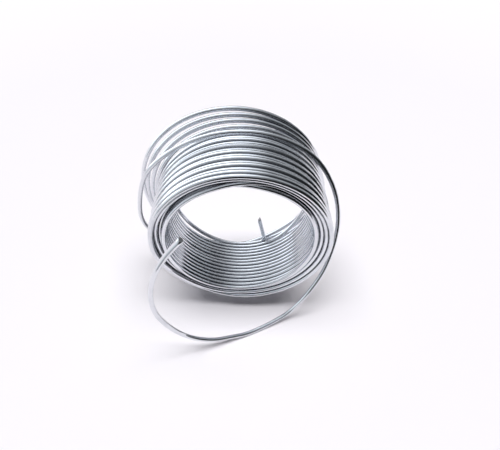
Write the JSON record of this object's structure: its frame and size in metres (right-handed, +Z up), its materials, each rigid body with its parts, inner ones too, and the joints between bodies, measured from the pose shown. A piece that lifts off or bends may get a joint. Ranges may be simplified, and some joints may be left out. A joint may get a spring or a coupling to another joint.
{
  "type": "coil of galvanised wire",
  "caption": "Small coil of galvanised steel wire lying on its side, wound in tight layers round an open bore, with rear turns sprung open, a loose tail in front and a bent inner end.",
  "frame": {"origin": "middle of the bore, on the coil's axis", "axes": "+Y along the coil's axis, from its front end to its flared rear end; +Z up from the floor that it lies on"},
  "size_m": [0.0922, 0.0676, 0.0923],
  "materials": {
    "galvanised_wire": "bright zinc, drawn smooth"
  },
  "bodies": {
    "root": {"wire_coil": "galvanised_wire"}
  },
  "joints": []
}
